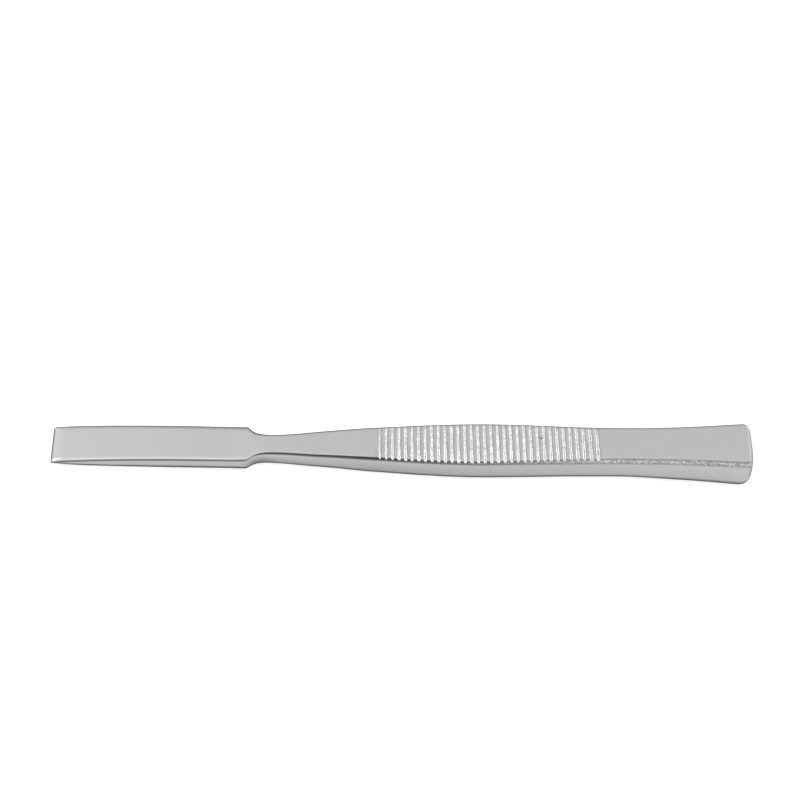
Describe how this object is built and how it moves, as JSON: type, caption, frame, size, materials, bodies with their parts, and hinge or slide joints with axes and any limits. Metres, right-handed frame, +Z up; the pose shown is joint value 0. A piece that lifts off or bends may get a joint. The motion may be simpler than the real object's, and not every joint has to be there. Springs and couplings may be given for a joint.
{
  "type": "osteotome",
  "caption": "One-piece steel bone chisel with a straight double-bevel blade, a narrow neck, a cross-grooved grip and a flared, blunt end to strike, lying on its back face.",
  "frame": {"origin": "centre of the bounding box's footprint, on the surface that the tool lies on", "axes": "+X along the tool, from the cutting edge to the struck end, +Y across its broad faces, +Z up. As the tool lies, its own axis is 1.03 degrees off +X, with the blade end lower."},
  "size_m": [0.125, 0.0106, 0.0063],
  "materials": {
    "stainless_steel": "satin ground stainless steel with polished edges"
  },
  "bodies": {
    "root": {"osteotome": "stainless_steel"}
  },
  "joints": []
}
